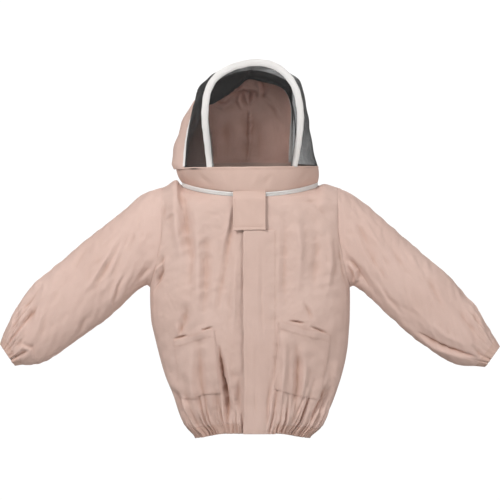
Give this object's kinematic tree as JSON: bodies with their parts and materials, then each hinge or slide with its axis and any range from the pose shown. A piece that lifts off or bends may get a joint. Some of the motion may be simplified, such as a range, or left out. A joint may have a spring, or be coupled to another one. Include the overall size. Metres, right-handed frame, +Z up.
{
  "type": "hooded beekeeping jacket",
  "caption": "Hooded beekeeping jacket with a hooped mesh veil, zip-on hood, covered front zip, patch pockets and gathered hem and cuffs",
  "frame": {"origin": "centre of the outline in plan, at the height of the hem's lower edge", "axes": "+Z up, front towards -Y, the wearer's left towards +X"},
  "size_m": [1.45, 0.2559, 1.0967],
  "materials": {
    "body_cloth": "plain-weave polyester-cotton, light pinkish beige",
    "elastic": "woven elastic",
    "hoop_wire": "spring wire",
    "mesh": "dark veil mesh, two layers",
    "slider_metal": "plated die-cast",
    "touch_fastener": "hook and loop tape",
    "white_tape": "white woven tape",
    "zip_teeth": "white moulded plastic"
  },
  "bodies": {
    "jacket": {"back_panel": "body_cloth", "flap_loop_patch": "touch_fastener", "front_loop_patch_1": "touch_fastener", "front_loop_patch_2": "touch_fastener", "front_loop_patch_3": "touch_fastener", "front_panel_left": "body_cloth", "front_panel_right": "body_cloth", "front_zip_box": "zip_teeth", "front_zip_tape_left": "white_tape", "front_zip_tape_right": "white_tape", "front_zip_teeth_left": "zip_teeth", "front_zip_teeth_right": "zip_teeth", "hanger_loop": "white_tape", "hem_casing": "body_cloth", "hem_elastic": "elastic", "neck_zip_tape_lower": "white_tape", "neck_zip_teeth_lower": "zip_teeth", "pocket_left": "body_cloth", "pocket_right": "body_cloth"},
    "hood": {"neck_band": "body_cloth", "neck_zip_tape_upper": "white_tape", "neck_zip_teeth_upper": "zip_teeth", "hood_back_right": "body_cloth", "hood_back_left": "body_cloth", "side_mesh": "mesh", "rear_hoop_wire": "hoop_wire", "rear_hoop_tape": "white_tape"},
    "face": {"face_mesh": "mesh", "front_hoop_wire": "hoop_wire", "front_hoop_tape": "white_tape"},
    "flap": {"neck_flap": "body_cloth", "flap_hook_patch": "touch_fastener"},
    "placket": {"zip_cover_placket": "body_cloth", "cover_hook_patch_1": "touch_fastener", "cover_hook_patch_2": "touch_fastener", "cover_hook_patch_3": "touch_fastener"},
    "front_slider": {"front_zip_slider": "slider_metal"},
    "front_pull": {"front_zip_pull": "slider_metal"},
    "neck_slider_l": {"neck_slider_left": "slider_metal"},
    "neck_pull_l": {"neck_pull_left": "slider_metal"},
    "neck_slider_r": {"neck_slider_right": "slider_metal"},
    "neck_pull_r": {"neck_pull_right": "slider_metal"},
    "sleeve_l": {"sleeve_left": "body_cloth", "cuff_casing_left": "body_cloth", "cuff_elastic_left": "elastic"},
    "sleeve_r": {"sleeve_right": "body_cloth", "cuff_casing_right": "body_cloth", "cuff_elastic_right": "elastic"}
  },
  "joints": [
    {"name": "hood_flip", "type": "hinge", "parent": "jacket", "child": "hood", "pos_m": [0, 0.1029, 0.763], "axis": [-1, 0, 0], "range_deg": [0, 120]},
    {"name": "face_hoop_fold", "type": "hinge", "parent": "hood", "child": "face", "pos_m": [0.006, -0.0811, 0.793], "axis": [-1, 0, 0], "range_deg": [0, 22], "deforming": ["side_mesh"]},
    {"name": "neck_flap_lift", "type": "hinge", "parent": "hood", "child": "flap", "pos_m": [-0.0025, -0.1027, 0.715], "axis": [-1, 0, 0], "range_deg": [0, 150]},
    {"name": "placket_open", "type": "hinge", "parent": "jacket", "child": "placket", "pos_m": [0.075, -0.1009, 0.31], "axis": [0, 0, 1], "range_deg": [0, 120]},
    {"name": "front_zip_slide", "type": "slide", "parent": "jacket", "child": "front_slider", "axis": [0, 0, -1], "range_m": [0, 0.58]},
    {"name": "front_pull_swing", "type": "hinge", "parent": "front_slider", "child": "front_pull", "pos_m": [0.012, -0.0976, 0.648], "axis": [0, -1, 0], "range_deg": [-60, 60]},
    {"name": "neck_zip_left", "type": "hinge", "parent": "jacket", "child": "neck_slider_l", "pos_m": [0, 0.13374, 0.77206], "axis": [0, -0.2823, 0.9593], "range_deg": [0, 46]},
    {"name": "neck_pull_left_swing", "type": "hinge", "parent": "neck_slider_l", "child": "neck_pull_l", "pos_m": [0.01093, -0.09712, 0.70411], "axis": [0.0454, -0.9583, -0.2821], "range_deg": [0, 60]},
    {"name": "neck_zip_right", "type": "hinge", "parent": "jacket", "child": "neck_slider_r", "pos_m": [0, 0.13374, 0.77206], "axis": [0, 0.2823, -0.9593], "range_deg": [0, 46]},
    {"name": "neck_pull_right_swing", "type": "hinge", "parent": "neck_slider_r", "child": "neck_pull_r", "pos_m": [-0.01093, -0.09712, 0.70411], "axis": [0.0454, 0.9583, 0.2821], "range_deg": [0, 60]},
    {"name": "sleeve_swing_left", "type": "hinge", "parent": "jacket", "child": "sleeve_l", "pos_m": [0.262, 0.0109, 0.576], "axis": [0, -1, 0], "range_deg": [-4, 35]},
    {"name": "sleeve_swing_right", "type": "hinge", "parent": "jacket", "child": "sleeve_r", "pos_m": [-0.262, 0.0109, 0.576], "axis": [0, 1, 0], "range_deg": [-4, 35]}
  ]
}
